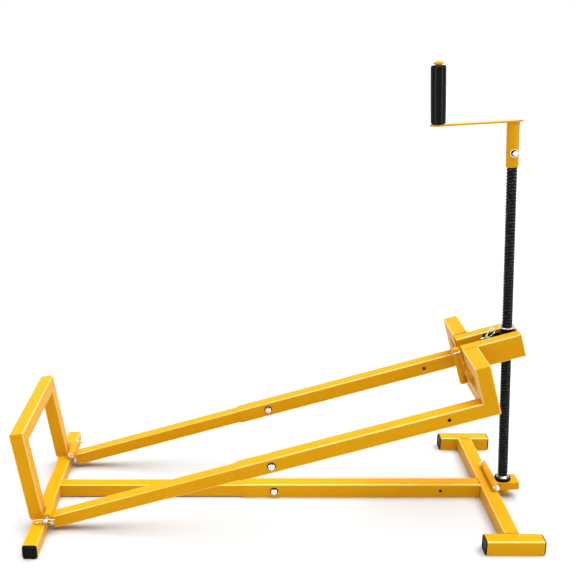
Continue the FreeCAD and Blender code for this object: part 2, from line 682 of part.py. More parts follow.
half_chord = math.sqrt(max((washer_d / 2) ** 2 - (prong_gap / 2) ** 2, 0))
plate_face = prong_reach - prong_plate_t
seat_rise = 0.0
for at_e, at_n, slant in track * 2:
    slope = math.radians(slant)
    room = prong_height * (1 - nut_height_share) - (at_n - prong_n) + washer_lift
    front = at_e + seat_rise * math.sin(slope) + washer_d / 2 * math.cos(slope)
    dip = washer_d / 2 if front > plate_face - slot_play else half_chord
    seat_rise = max(seat_rise, (room + dip * math.sin(slope)) / math.cos(slope))
half_block = prong_gap / 2 - nut_side_gap
nut_core = box(axis_x - nut_length / 2, axis_x + nut_length / 2, -half_block, half_block,
               nut_rest - nut_height / 2, nut_rest + nut_height / 2)
nut_core = nut_core.makeFillet(nut_corner, [edge for edge in nut_core.Edges
                                             if abs(edge.tangentAt(edge.FirstParameter).z) > 0.5])
pin_y = prong_gap / 2 + trunnion_reach
nut_core = nut_core.fuse(rod(trunnion_d, (axis_x, -pin_y, nut_rest), (axis_x, pin_y, nut_rest)))
nut_core = nut_core.fuse(rod(nut_collar_d, (axis_x, 0, nut_rest), (axis_x, 0, nut_rest + seat_rise)))
screw_hole = rod(spindle_d + 2 * spindle_play, (axis_x, 0, nut_rest - nut_height),
                 (axis_x, 0, nut_rest + nut_height + seat_rise))
keeper_x = axis_x - keeper_back
keeper_v = nut_rest + keeper_rise
for side in (-1, 1):
    low_y, high_y = sorted((side * half_block, side * (half_block - ear_t)))
    nut_core = nut_core.fuse(box(keeper_x - ear_reach, axis_x, low_y, high_y, keeper_v - ear_reach,
                                 nut_rest + nut_height / 2))
nut_core = nut_core.cut(rod(keeper_d, (keeper_x, -prong_gap, keeper_v), (keeper_x, prong_gap, keeper_v)))
add("lift_nut", nut_core.cut(screw_hole), foot_place)
slope = math.radians(keeper_slope)
down_back = (-math.cos(slope), 0, -math.sin(slope))
under = (math.sin(slope), 0, -math.cos(slope))
keeper = rod(keeper_d, (keeper_x, -half_block, keeper_v), (keeper_x, half_block, keeper_v))
reach = Vector(*down_back) * keeper_d
middle = Vector(keeper_x, 0, keeper_v)
add("keeper_pin", keeper.cut(rod(keeper_wire + 2 * clip_play, tuple(middle - reach), tuple(middle + reach))),
    foot_place)
add("keeper_clip", retaining_clip(tuple(middle), down_back, under, keeper_d, keeper_eye, keeper_wire),
    foot_place)
add("lift_nut_washer", rod(washer_d, (axis_x, 0, nut_rest + seat_rise),
                           (axis_x, 0, nut_rest + seat_rise + washer_t)).cut(screw_hole), foot_place)


# Drill adapter, lying beside the base beam

adapter_x = base_bolt_x + adapter_lead
adapter_y = half_tube + slide_gap + adapter_d / 2
adapter_z = adapter_d / 2
adapter_end = adapter_x + adapter_length
adapter = rod(adapter_d, (adapter_x, adapter_y, adapter_z), (adapter_end, adapter_y, adapter_z))
adapter = adapter.makeFillet(adapter_round, [edge for edge in adapter.Edges
                                             if edge.BoundBox.XMin > adapter_end - adapter_round])
adapter = adapter.fuse(rod(adapter_shank_d, (adapter_end - adapter_round, adapter_y, adapter_z),
                           (adapter_end + adapter_shank_length, adapter_y, adapter_z)))
adapter = adapter.cut(rod(adapter_bore, (adapter_x - overrun, adapter_y, adapter_z),
                          (adapter_x + adapter_bore_depth, adapter_y, adapter_z)))
pin_x = adapter_x + adapter_pin_inset
adapter = adapter.cut(rod(adapter_pin_d, (pin_x, adapter_y, -overrun),
                          (pin_x, adapter_y, adapter_d + overrun)))
add("drill_adapter", adapter)


# Write one file for each piece

os.makedirs("parts", exist_ok=True)
for name, shape in nodes.items():
    shape.exportStep(f"parts/{name}.step")
print(f"{len(nodes)} pieces, nut {nut_rest:.2f} up the spindle, its slots {slot_e[1] - slot_e[0]:.1f} "
      f"by {slot_n[1] - slot_n[0]:.1f} over the side pins")
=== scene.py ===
# %% [markdown]
# # A screw lift with a hinged frame
# A floor frame of square tube, a lift frame hinged to its rear tube, and an upright screw with a hand
# crank. The solids hold every size and place already. This notebook gives them paint and metal, and
# makes anew the pieces whose charm is in their small forms: thread, wire, hexagons, rubber and welds.

import json
import math

import bmesh
import bpy
import numpy as np
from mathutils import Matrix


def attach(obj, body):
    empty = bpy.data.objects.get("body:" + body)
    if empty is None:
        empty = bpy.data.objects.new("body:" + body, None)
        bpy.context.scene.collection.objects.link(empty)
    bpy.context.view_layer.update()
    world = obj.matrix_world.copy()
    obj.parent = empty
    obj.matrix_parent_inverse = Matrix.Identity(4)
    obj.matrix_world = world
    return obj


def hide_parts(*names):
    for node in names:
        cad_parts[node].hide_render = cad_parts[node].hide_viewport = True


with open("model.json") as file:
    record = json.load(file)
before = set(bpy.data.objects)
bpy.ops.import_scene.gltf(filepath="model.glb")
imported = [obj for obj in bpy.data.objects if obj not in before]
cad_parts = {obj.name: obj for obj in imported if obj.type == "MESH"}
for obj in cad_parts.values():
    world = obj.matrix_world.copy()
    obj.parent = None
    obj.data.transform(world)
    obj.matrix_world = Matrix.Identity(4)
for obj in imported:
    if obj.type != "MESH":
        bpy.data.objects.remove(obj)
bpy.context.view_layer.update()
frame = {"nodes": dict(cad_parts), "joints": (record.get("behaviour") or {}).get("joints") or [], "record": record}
nodes = frame["nodes"]

# %% [markdown]
# The lift has three groups that stand at their own slant: the base lies flat, the lift frame rises
# towards the front, and the screw leans back a little. Turning every point by hand would be slow, so
# each group gets its own axes at its hinge line, and a piece is drawn upright in those, in millimetres.

# %% Groups and their axes
MM = 0.001
TUBE, REAR_TUBE = 42.0, 39.0
HALF, HALF_REAR = TUBE / 2, REAR_TUBE / 2
ARM_SLOPE = math.radians(16.2)
joints = {joint["name"]: joint for joint in frame["joints"]}


def slanted(angle):
    """Axes in columns: x runs up the slope and z stands square to it, both turned about Y."""
    c, s = math.cos(angle), math.sin(angle)
    return np.array([[c, 0, -s], [0, 1, 0], [s, 0, c]])


def leaning(joint_name, angle):
    """Origin and axes of a group: a point on its hinge line, in metres, and its slanted axes."""
    return np.array(joints[joint_name]["pos_m"]), slanted(angle)


screw_up = joints["crank_spin"]["axis"]
FLAT = (np.zeros(3), np.eye(3))
ARMS = leaning("lift_tilt", ARM_SLOPE)
SCREW = leaning("spindle_lean", math.atan2(-screw_up[0], screw_up[2]))
REAR_X = ARMS[0][0] / MM
FRONT_X, _, FRONT_Z = SCREW[0] / MM
ARM_OUTSIDE, ARM_LEVEL = 196.0, -29.2
ARM_Y = ARM_OUTSIDE - HALF
FRAME_LOW, FRAME_HIGH = ARM_LEVEL - HALF, 91.8
POST_FRONT = 1240.0
POST_BACK = POST_FRONT - TUBE
print("rear hinge line at", round(REAR_X, 1), "front hinge line at", round(FRONT_X, 1))

# %% [markdown]
# Every new piece is a sheet of points in rows and columns. Joining neighbours gives squares, and where
# a row shrinks to one point, or the last column meets the first, merging the doubles closes the skin.
# Blender's own primitives would be quicker for one piece, but one recipe serves all of them here.

# %% Sheets of points into meshes
SAME_POINT = 2e-6
# For each axis: which of a sheet's coordinates become x, y and z, and their signs.
AIM = {"x": ((2, 0, 1), (1, 1, 1)), "y": ((1, 2, 0), (1, 1, 1)), "z": ((0, 1, 2), (1, 1, 1)),
       "-x": ((2, 1, 0), (-1, 1, 1)), "-y": ((0, 2, 1), (1, -1, 1)), "-z": ((0, 1, 2), (1, -1, -1))}


def squares(rows, columns, wrap_rows, wrap_columns):
    """Corner numbers: square r, c joins points (r, c), (r, c+1), (r+1, c+1) and (r+1, c)."""
    r, c = np.meshgrid(np.arange(rows if wrap_rows else rows - 1),
                       np.arange(columns if wrap_columns else columns - 1), indexing="ij")
    r_next, c_next = (r + 1) % rows, (c + 1) % columns
    corners = [r * columns + c, r * columns + c_next, r_next * columns + c_next, r_next * columns + c]
    return np.stack(corners, -1).reshape(-1, 4)


def aimed(sheet, axis, at):
    """A sheet drawn along z, laid along another axis from a point, by swapping its coordinates."""
    points, wrap_rows, wrap_columns = sheet
    order, signs = AIM[axis]
    return points[..., order] * np.array(signs) + np.array(at, float), wrap_rows, wrap_columns


def mark(mesh, name, domain, values):
    """One number for each point or face, which a finish reads by this name."""
    attribute = mesh.attributes.new(name, "FLOAT", domain)
    attribute.data.foreach_set("value", values.astype(np.float32).ravel())


def mesh_of(name, sheets, group, marks=None):
    """World point = group's origin + group's axes times the drawn point, in metres."""
    origin, turn = group
    points, corners, count = [], [], 0
    for sheet, wrap_rows, wrap_columns in sheets:
        rows, columns = sheet.shape[:2]
        points.append(sheet.reshape(-1, 3))
        corners.append(squares(rows, columns, wrap_rows, wrap_columns) + count)
        count += rows * columns
    points = origin + (np.concatenate(points) * MM) @ turn.T
    corners = np.concatenate(corners).astype(np.int32)
    mesh = bpy.data.meshes.new(name)
    mesh.vertices.add(len(points))
    mesh.vertices.foreach_set("co", points.astype(np.float32).ravel())
    mesh.loops.add(corners.size)
    mesh.loops.foreach_set("vertex_index", corners.ravel())
    mesh.polygons.add(len(corners))
    mesh.polygons.foreach_set("loop_start", np.arange(0, corners.size, 4, dtype=np.int32))
    mesh.update(calc_edges=True)
    if marks is not None:
        mark(mesh, "crest", "POINT", marks)
    shape = bmesh.new()
    shape.from_mesh(mesh)
    bmesh.ops.remove_doubles(shape, verts=shape.verts, dist=SAME_POINT)
    bmesh.ops.recalc_face_normals(shape, faces=shape.faces)
    shape.to_mesh(mesh)
    shape.free()
    return mesh


def placed(name, data):
    """An object for this data, linked into the scene."""
    made = bpy.data.objects.new(name, data)
    bpy.context.scene.collection.objects.link(made)
    return made


def piece(name, mesh, body, finish, stands_for=(), crease=32):
    """Put a mesh into the scene, ride it on its body, and round its shading below the crease angle."""
    mesh.shade_smooth()
    mesh.set_sharp_from_angle(angle=math.radians(crease))
    made = placed(name, mesh)
    mesh.materials.clear()
    mesh.materials.append(finish)
    if stands_for:
        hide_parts(*stands_for)
    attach(made, body)
    print(f"{name}: {len(mesh.polygons)} faces on {body}")
    return made


def drawn(name, sheets, group, body, finish, stands_for=(), crease=32, marks=None):
    """A piece made of sheets that are drawn in a group's axes."""
    return piece(name, mesh_of(name, sheets, group, marks), body, finish, stands_for, crease)


# %% [markdown]
# ## Finishes
# A finish is a small net of shader nodes. Writing the sums as Python expressions keeps them readable:
# a wrapped socket knows how to add, subtract and multiply, and each operation becomes a Math node.

# %% Shader sums as Python expressions
class Signal:
    """One output socket. Sums with it add a Math node to its finish."""

    def __init__(self, finish, socket):
        self.finish, self.socket = finish, socket

    def sum(self, operation, first, second):
        made = self.finish.node("ShaderNodeMath", {"operation": operation}, {0: first, 1: second})
        return Signal(self.finish, made.outputs[0])

    def __add__(self, other):
        return self.sum("ADD", self, other)

    __radd__ = __add__

    def __sub__(self, other):
        return self.sum("SUBTRACT", self, other)

    def __rsub__(self, other):
        return self.sum("SUBTRACT", other, self)

    def __mul__(self, other):
        return self.sum("MULTIPLY", self, other)

    __rmul__ = __mul__


class Finish:
    """A material with a Principled shader. Whatever varies over the surface comes in through wear()."""

    def __init__(self, name, **constants):
        self.material = bpy.data.materials.new(name)
        self.material.use_nodes = True
        self.tree = self.material.node_tree
        self.shader = self.tree.nodes["Principled BSDF"]
        for socket, value in constants.items():
            self.shader.inputs[socket.replace("_", " ")].default_value = value
        self.place = Signal(self, self.node("ShaderNodeTexCoord").outputs["Object"])

    def node(self, kind, settings=None, inputs=None):
        """Any node: its settings first, then its sockets' values or links."""
        made = self.tree.nodes.new(kind)
        for setting, value in (settings or {}).items():
            setattr(made, setting, value)
        for socket, value in (inputs or {}).items():
            if isinstance(value, Signal):
                self.tree.links.new(value.socket, made.inputs[socket])
            else:
                made.inputs[socket].default_value = value
        return made

    def noise(self, scale, detail=2.0, stretch=None, roughness=0.5):
        """Cloudy noise between 0 and 1, in patches of about 1 / scale metres."""
        where = self.place
        if stretch:
            made = self.node("ShaderNodeMapping", None, {"Vector": where, "Scale": stretch})
            where = Signal(self, made.outputs[0])
        made = self.node("ShaderNodeTexNoise", None, {"Vector": where, "Scale": scale, "Detail": detail,
                                                      "Roughness": roughness})
        return Signal(self, made.outputs[0])

    def above(self, value, start, end):
        """0 below the start, 1 above the end, and a smooth ramp between them."""
        made = self.node("ShaderNodeMapRange", {"interpolation_type": "SMOOTHSTEP"},
                         {0: value, 1: start, 2: end})
        return Signal(self, made.outputs[0])

    def blend(self, share, first, second):
        """Mix of two colours."""
        made = self.node("ShaderNodeMix", {"data_type": "RGBA"}, {0: share, 6: first, 7: second})
        return Signal(self, made.outputs[2])

    def marked(self, name):
        """The number that a mesh carries under this name."""
        made = self.node("ShaderNodeAttribute", {"attribute_name": name})
        return Signal(self, made.outputs["Fac"])

    def bump(self, height, strength, depth):
        """Fine relief in the shading: the height between 0 and 1, times a depth in metres."""
        made = self.node("ShaderNodeBump", None, {"Height": height, "Strength": strength,
                                                  "Distance": depth})
        self.wear(Normal=Signal(self, made.outputs[0]))

    def wear(self, **signals):
        """Link what varies over the surface to the shader's own sockets."""
        for socket, signal in signals.items():
            self.tree.links.new(signal.socket, self.shader.inputs[socket.replace("_", " ")])

    def done(self):
        """Say how large the net has grown, and hand over the material."""
        print(f"{self.material.name}: {len(self.tree.nodes)} shader nodes")
        return self.material


# %% [markdown]
# ** Golden enamel.** The tubes are powder coated: an even golden yellow, with the faint orange peel that
# baked powder always has. A tube's bends carry more coat, so they shine more than the flats, and a paler
# gold is painted on them as a painted highlight. A shader that looks for the bends itself is slow and is
# lost on export, so a mark on the faces of each bend tells the finish where they are.

# %% Golden enamel
GOLD_DEEP, GOLD_BRIGHT = (0.612, 0.277, 0.0008, 1.0), (0.662, 0.318, 0.001, 1.0)
# The first colour on the next line is a painted highlight: the paler gold laid on the marked faces.
GOLD_PAINTED_HIGHLIGHT, GOLD_RUBBED = (0.95, 0.70, 0.16, 1.0), (0.60, 0.27, 0.012, 1.0)
CREAM = (1.0, 0.97, 0.85, 1.0)


def enamel_finish():
    """Coated on bends, with a paler gold painted there as a painted highlight, duller where it is rubbed, wavy
    with a fine peel everywhere.
    """
    finish = Finish("golden_enamel", IOR=1.14, Coat_IOR=1.9, Coat_Roughness=0.16, Sheen_Weight=0.12,
                    Sheen_Roughness=0.35, Sheen_Tint=CREAM)
    gloss_and_painted_highlight = finish.marked("gloss_and_painted_highlight")
    drift = finish.noise(7.0, 3.0)
    peel = finish.noise(520.0, 1.0)
    wave = finish.noise(45.0, 2.0)
    rub = finish.above(finish.noise(34.0, 5.0, roughness=0.62), 0.70, 0.80)
    colour = finish.blend(drift, GOLD_DEEP, GOLD_BRIGHT)
    # Painted highlight: a paler gold painted on the bends and on the crank bar's top face.
    colour = finish.blend(gloss_and_painted_highlight * 0.30, colour, GOLD_PAINTED_HIGHLIGHT)
    colour = finish.blend(rub * 0.25, colour, GOLD_RUBBED)
    finish.wear(Base_Color=colour, Roughness=0.34 + 0.10 * drift + 0.16 * rub,
                Coat_Weight=gloss_and_painted_highlight * (0.80 - 0.20 * drift))
    finish.bump(0.35 * peel + wave, 0.22, 0.0005)
    return finish.done()


ENAMEL = enamel_finish()

# %% [markdown]
# **Painted welds.** The same enamel lies over the weld beads, but thin on their ripples, where soot and
# bare metal show through as brown and grey specks. Fine noise makes the specks, and a coarser noise
# gathers them in patches, as the torch leaves them.

# %% Enamel over welds
WELD_PAINT, WELD_SOOT = (0.62, 0.27, 0.002, 1.0), (0.10, 0.055, 0.025, 1.0)


def weld_finish():
    """Specks of soot where fine noise is high, thickest where coarse noise is high too."""
    finish = Finish("enamel_over_weld", IOR=1.25, Roughness=0.5)
    speck = finish.above(finish.noise(420.0, 4.0, roughness=0.7), 0.44, 0.62)
    patch = finish.above(finish.noise(70.0, 2.0), 0.42, 0.60)
    finish.wear(Base_Color=finish.blend(speck * (0.25 + 0.65 * patch), WELD_PAINT, WELD_SOOT))
    finish.bump(finish.noise(900.0, 3.0), 0.5, 0.0006)
    return finish.done()


WELD = weld_finish()

# %% [markdown]
# **Zinc, black oxide, polished steel.** Bolts, pins and wire are bright zinc plate, a little cloudy
# where the plating is thicker, and the hinges' clips have the yellow kind. One function gives both,
# since only their colours differ. The screw is blackened and oiled, so its roots are matt and its
# crests are rubbed to a dull shine. The bearing's top race is turned and polished.

# %% Metals
OXIDE_MATT, OXIDE_RUBBED = (0.0045, 0.0045, 0.005, 1.0), (0.045, 0.045, 0.047, 1.0)
STEEL_DARK, STEEL_BRIGHT = (0.30, 0.31, 0.32, 1.0), (0.46, 0.46, 0.47, 1.0)


def zinc_finish(name, thick, thin):
    """Clouds between the colours of thick and of thin plating, duller where it is thick."""
    finish = Finish(name, Metallic=1.0)
    cloud = finish.noise(160.0, 4.0)
    grain = finish.noise(900.0, 2.0)
    finish.wear(Base_Color=finish.blend(cloud, thick, thin), Roughness=0.16 + 0.22 * cloud)
    finish.bump(grain, 0.10, 0.0002)
    return finish.done()


def black_oxide_finish():
    """Matt black, paler and smoother where a crest's mark meets a cloud."""
    finish = Finish("black_oxide", Metallic=0.85, IOR=1.3)
    crest = finish.marked("crest")
    cloud = finish.noise(220.0, 4.0)
    rubbed = crest * finish.above(cloud, 0.35, 0.75)
    finish.wear(Base_Color=finish.blend(rubbed, OXIDE_MATT, OXIDE_RUBBED),
                Roughness=0.50 - 0.20 * rubbed + 0.08 * cloud)
    finish.bump(cloud, 0.15, 0.0002)
    return finish.done()


def polished_finish():
    """Noise squeezed 40 times along the axis, which draws the lathe's fine rings."""
    finish = Finish("turned_steel", Metallic=1.0)
    rings = finish.noise(60.0, 2.0, stretch=(1.0, 1.0, 40.0))
    finish.wear(Base_Color=finish.blend(rings, STEEL_DARK, STEEL_BRIGHT), Roughness=0.14 + 0.14 * rings)
    finish.bump(rings, 0.06, 0.0002)
    return finish.done()


ZINC = zinc_finish("bright_zinc", (0.62, 0.63, 0.63, 1.0), (0.88, 0.88, 0.85, 1.0))
YELLOW_ZINC = zinc_finish("yellow_zinc", (0.36, 0.25, 0.10, 1.0), (0.78, 0.66, 0.40, 1.0))
BLACK_OXIDE, POLISHED = black_oxide_finish(), polished_finish()

# %% [markdown]
# **Rubber and plastic.** The grip is moulded rubber with a soft sheen, the tube plugs are a harder
# black plastic with a fine moulded grain that scatters light a little more.

# %% Rubber and plastic
def black_finish(name, grain_scale, gloss, grey):
    """Near black between one grey and 1.7 times that grey, over a fine moulded grain."""
    finish = Finish(name, IOR=1.15)
    grain = finish.noise(grain_scale, 3.0)
    patch = finish.noise(40.0, 3.0)
    dark, pale = (grey, grey, grey, 1.0), (1.7 * grey, 1.7 * grey, 1.75 * grey, 1.0)
    finish.wear(Base_Color=finish.blend(patch, dark, pale), Roughness=gloss + 0.12 * patch)
    finish.bump(grain, 0.20, 0.0002)
    return finish.done()


RUBBER = black_finish("grip_rubber", 1500.0, 0.20, 0.0035)
PLASTIC = black_finish("plug_plastic", 1100.0, 0.36, 0.003)

# %% [markdown]
# The record names a finish slot for every solid. Each solid is shown below by a new piece, drawn from
# sheets or copied and softened, and a copy looks up its finish by its solid's slot.

# %% Finishes by slot
FINISH_OF = {"yellow_paint": ENAMEL, "zinc_plate": ZINC, "black_plastic": PLASTIC,
             "black_steel": BLACK_OXIDE, "bearing_steel": POLISHED, "black_rubber": RUBBER}
slot_of = {part["node"]: part["material_slot"] for part in frame["record"]["subparts"]}
print(len(slot_of), "solids with", len(FINISH_OF), "slots")

# %% [markdown]
# ## Turned pieces
# Pins, washers, races and the grip are turned about an axis: a profile of radius against height, swept
# round. A turned corner is never razor sharp, so each inner corner of a profile is rounded first.

# %% Turned shapes
def rounded(profile, radius, steps=4):
    """Corners become curves: (1-t)^2 A + 2t(1-t) C + t^2 B, with A and B a radius away from corner C."""
    profile = np.array(profile, float)
    corner = profile[1:-1]
    t = np.linspace(0, 1, steps + 1)[None, :, None]
    ends = []
    for neighbour in (profile[:-2], profile[2:]):
        run = neighbour - corner
        length = np.linalg.norm(run, axis=1, keepdims=True)
        ends.append((corner + run / length * np.minimum(radius, 0.45 * length))[:, None])
    curve = (1 - t) ** 2 * ends[0] + 2 * t * (1 - t) * corner[:, None] + t ** 2 * ends[1]
    return np.concatenate([profile[:1], curve.reshape(-1, 2), profile[-1:]])


def turned(profile, columns=56):
    """Point = (radius cos a, radius sin a, height), for each profile row and each angle a."""
    profile = np.array(profile, float)
    a = np.linspace(0, 2 * math.pi, columns, endpoint=False)
    radius, height = profile[:, :1], profile[:, 1:]
    return np.stack([radius * np.cos(a), radius * np.sin(a), height + 0 * a], -1), False, True


def ring(inner, outer, low, high, edge=0.5):
    """A washer or race: a rectangle of radius and height, rounded and turned into a closed ring."""
    middle = (inner + outer) / 2
    profile = [(middle, low), (outer, low), (outer, high), (inner, high), (inner, low), (middle, low)]
    return turned(rounded(profile, edge))


def disc(radius, low, high, edge=0.6):
    """A short solid cylinder with rounded edges."""
    return turned(rounded([(0, low), (radius, low), (radius, high), (0, high)], edge))


# %% [markdown]
# ## Hexagons
# Bolt heads and nuts are cut from hexagon bar, then turned at 30 degrees, which leaves the curved
# scallops at each corner. That shape is simply the smaller of two radii: the hexagon's and the cone's.

# %% Hexagon heads and nuts
def hexagon(across, height, both_ends=False, rows=7):
    """Radius = min(half flats / cos(angle from the flat), cone's radius), the cone falling 30 degrees.
    The width across is measured over the corners."""
    flat = across / 2 * math.cos(math.pi / 6)
    face, slope = 0.94 * flat, math.tan(math.radians(30))
    a = np.linspace(0, 2 * math.pi, 72, endpoint=False)
    wall = flat / np.cos((a + math.pi / 6) % (math.pi / 3) - math.pi / 6)
    fall = (across / 2 - face) * slope
    top = np.linspace(height - fall, height, rows)
    low = np.linspace(0, fall, rows) if both_ends else np.zeros(1)
    heights = np.concatenate([low, top])
    cone = face + (height - heights) / slope
    if both_ends:
        cone = np.minimum(cone, face + heights / slope)
    radius = np.minimum(wall[None], cone[:, None])
    radius = np.concatenate([0 * radius[:1], radius, 0 * radius[:1]])
    heights = np.concatenate([heights[:1], heights, heights[-1:]])[:, None]
    return np.stack([radius * np.cos(a), radius * np.sin(a), heights + 0 * a], -1), False, True


# %% [markdown]
# ## Threads
# A thread is a wave that climbs as it turns. On a grid of angle and height the ridge stands where
# height / pitch - angle / turn is near a half, so one formula gives the lead screw and the bolt tips.

# %% Threaded bar
def threaded(radius, depth, pitch, low, high, per_turn=10, columns=28, tip=0.0):
    """Radius = root + depth x ridge, the ridge a flat-topped wave of height / pitch - angle / turn."""
    foot, flank = 0.63, 0.26
    heights = np.arange(low, high, pitch / per_turn)
    heights = np.concatenate([[low], heights, [high, high]])[:, None]
    a = np.linspace(0, 2 * math.pi, columns, endpoint=False)
    away = np.abs(2 * ((heights / pitch - a / (2 * math.pi)) % 1) - 1)
    ridge = np.clip((foot - away) / flank, 0, 1)
    ridge = ridge * np.clip((heights - low) / pitch, 0, 1)
    bar = radius - depth + depth * ridge
    if tip:
        bar = np.minimum(bar, radius - tip + (high - heights))
    bar[0] = 0
    bar[-1] = 0
    return (np.stack([bar * np.cos(a), bar * np.sin(a), heights + 0 * a], -1), False, True), ridge


# %% [markdown]
# **The lead screw.** A coarse black thread, its turns 8.8 mm apart, runs from the bearing to the
# crank's sleeve. Below it a plain journal passes through the pivot block to the retaining nut. Each
# point of the thread carries its ridge's height as a mark, so that the finish can rub the crests.

# %% Lead screw
SCREW_X = 34.0
GAP, RACE_HIGH, BLOCK_HIGH, NUT_HIGH = 0.3, 7.0, 24.0, 16.0
BLOCK_TOP = -4.0
RACE_TOP = BLOCK_TOP + RACE_HIGH
UPPER_LOW = RACE_TOP + GAP
UPPER_TOP = UPPER_LOW + RACE_HIGH
SLEEVE_LOW = 914.0
SLEEVE_TOP = SLEEVE_LOW + 117.0
SCREW_TOP = SLEEVE_LOW + 90.0
SCREW_R, THREAD_DEPTH, PITCH = 14.0, 2.0, 8.8
JOURNAL_R, JOURNAL_LOW, NECK_R = 9.9, -44.3, 12.4


def on_screw(sheet, height=0.0):
    """A turned sheet moved onto the screw's line, which stands ahead of the hinge line."""
    return aimed(sheet, "z", (SCREW_X, 0, height))


thread, ridge = threaded(SCREW_R, THREAD_DEPTH, PITCH, UPPER_TOP - 0.5, SLEEVE_LOW)
plain_parts = [disc(JOURNAL_R, JOURNAL_LOW, UPPER_TOP, 1.2), disc(NECK_R, SLEEVE_LOW, SCREW_TOP, 1.5)]
crests = np.concatenate([ridge.ravel()] + [np.zeros(sheet[0].shape[:2]).ravel() for sheet in plain_parts])
drawn("lead_screw_thread", [on_screw(sheet) for sheet in [thread] + plain_parts], SCREW, "spindle",
      BLACK_OXIDE, ["lead_screw"], crease=50, marks=crests)

# %% [markdown]
# **The thrust bearing and the nut under the block.** A black race carries a polished one, which is
# dished so that it sheds dirt. The painted nut below keeps the screw from lifting out. All three are
# turned from profiles or cut from the hexagon above, so a few numbers each are enough.

# %% Bearing races and retaining nut
drawn("lower_bearing_race", [on_screw(ring(10.3, 23.0, BLOCK_TOP, RACE_TOP, 0.9))], SCREW,
      "spindle_foot", BLACK_OXIDE, ["lower_race"])
BORE, RIM, OUTSIDE = 10.4, 13.6, 18.5
dish = rounded([(12.0, UPPER_LOW), (OUTSIDE, UPPER_LOW), (OUTSIDE, UPPER_LOW + 2.2),
                (RIM, UPPER_TOP - 0.3), (BORE, UPPER_TOP), (BORE, UPPER_LOW), (12.0, UPPER_LOW)], 0.8)
drawn("upper_bearing_race", [on_screw(turned(dish, 72))], SCREW, "spindle", POLISHED,
      ["upper_race"])
NUT_LOW = BLOCK_TOP - BLOCK_HIGH - GAP - NUT_HIGH
drawn("retaining_hexagon", [on_screw(hexagon(34.0, NUT_HIGH, both_ends=True), NUT_LOW)], SCREW,
      "spindle", ENAMEL, ["retaining_nut"])

# %% [markdown]
# ## The crank
# A painted sleeve slips over the screw and a cross bolt locks it. A flat bar is welded on top, and at
# its end a rubber grip turns on a rod with a domed head, so that the hand never has to slide.

# %% Sleeve, grip rod and grip
CRANK_RADIUS, BAR_THICK, GRIP_LONG = 193.0, 5.0, 148.0
SLEEVE_BORE, SLEEVE_R = 12.8, 16.5
ROD_R, COLLAR_R, COLLAR_HIGH = 6.0, 8.0, 2.0
HEAD_R, RIM_HIGH, DOME_HIGH = 13.5, 1.6, 6.4
GRIP_X = SCREW_X - CRANK_RADIUS
GRIP_LOW = SLEEVE_TOP + BAR_THICK + GAP
GRIP_TOP = GRIP_LOW + GRIP_LONG
HEAD_LOW = GRIP_TOP + GAP + COLLAR_HIGH
sleeve = rounded([(0, SCREW_TOP + GAP), (SLEEVE_BORE, SCREW_TOP + GAP), (SLEEVE_BORE, SLEEVE_LOW),
                  (SLEEVE_R, SLEEVE_LOW), (SLEEVE_R, SLEEVE_TOP), (0, SLEEVE_TOP)], 0.7)
drawn("crank_sleeve_tube", [on_screw(turned(sleeve, 72))], SCREW, "spindle", ENAMEL,
      ["crank_sleeve"])

dome = [(HEAD_R * math.sin(a), HEAD_LOW + RIM_HIGH + DOME_HIGH * math.cos(a))
        for a in np.linspace(0.5 * math.pi, 0, 12)]
rod = rounded([(0, SLEEVE_TOP), (ROD_R, SLEEVE_TOP), (ROD_R, GRIP_TOP + GAP), (COLLAR_R, GRIP_TOP + GAP),
               (COLLAR_R, HEAD_LOW), (HEAD_R - 0.5, HEAD_LOW), dome[0]], 0.5)
rod = np.concatenate([rod, np.array(dome[1:])])
drawn("grip_rod_head", [aimed(turned(rod), "z", (GRIP_X, 0, 0))], SCREW, "spindle", ENAMEL,
      ["grip_rod"])


def grip_profile():
    """Radius = 19.2 growing to 19.75 with a slight belly, a rolled lip at both ends, and shallow rings
    that fade out near the ends."""
    roll, lip, bore, ring_step = 4.5, 12.5, 6.1, 5.0
    height = np.linspace(0.0, GRIP_LONG, 297)
    share = height / GRIP_LONG
    end = np.minimum(height, GRIP_LONG - height)
    shoulder = np.sqrt(np.clip(1 - (1 - np.clip(end / roll, 0, 1)) ** 2, 0, 1))
    belly = 19.2 + 0.55 * share + 0.25 * np.sin(math.pi * share)
    groove = (0.5 + 0.5 * np.cos(2 * math.pi * height / ring_step)) ** 6
    rings = -0.16 * groove * np.clip((end - 8.0) / 4.0, 0, 1)
    radius = lip + (belly - lip) * shoulder + rings
    outside = np.stack([radius, GRIP_LOW + height], -1)
    return np.concatenate([[(bore, GRIP_LOW)], outside, [(bore, GRIP_TOP)], [(bore, GRIP_LOW)]])


drawn("crank_grip_rubber", [aimed(turned(grip_profile(), 64), "z", (GRIP_X, 0, 0))], SCREW, "grip",
      RUBBER, ["crank_grip"])

# %% [markdown]
# Flat bars and blocks keep their solid's shape, but a pressed or sawn edge is never perfectly sharp.
# A copy of the solid has its loose triangles joined and its flat faces made whole, and a Bevel
# modifier then rounds every edge that is sharper than the limit.

# %% Softened copies of solids
def face_normals(mesh):
    """The normals of all faces, one in each row."""
    normals = np.empty(3 * len(mesh.polygons), np.float32)
    mesh.polygons.foreach_get("normal", normals)
    return normals.reshape(-1, 3)


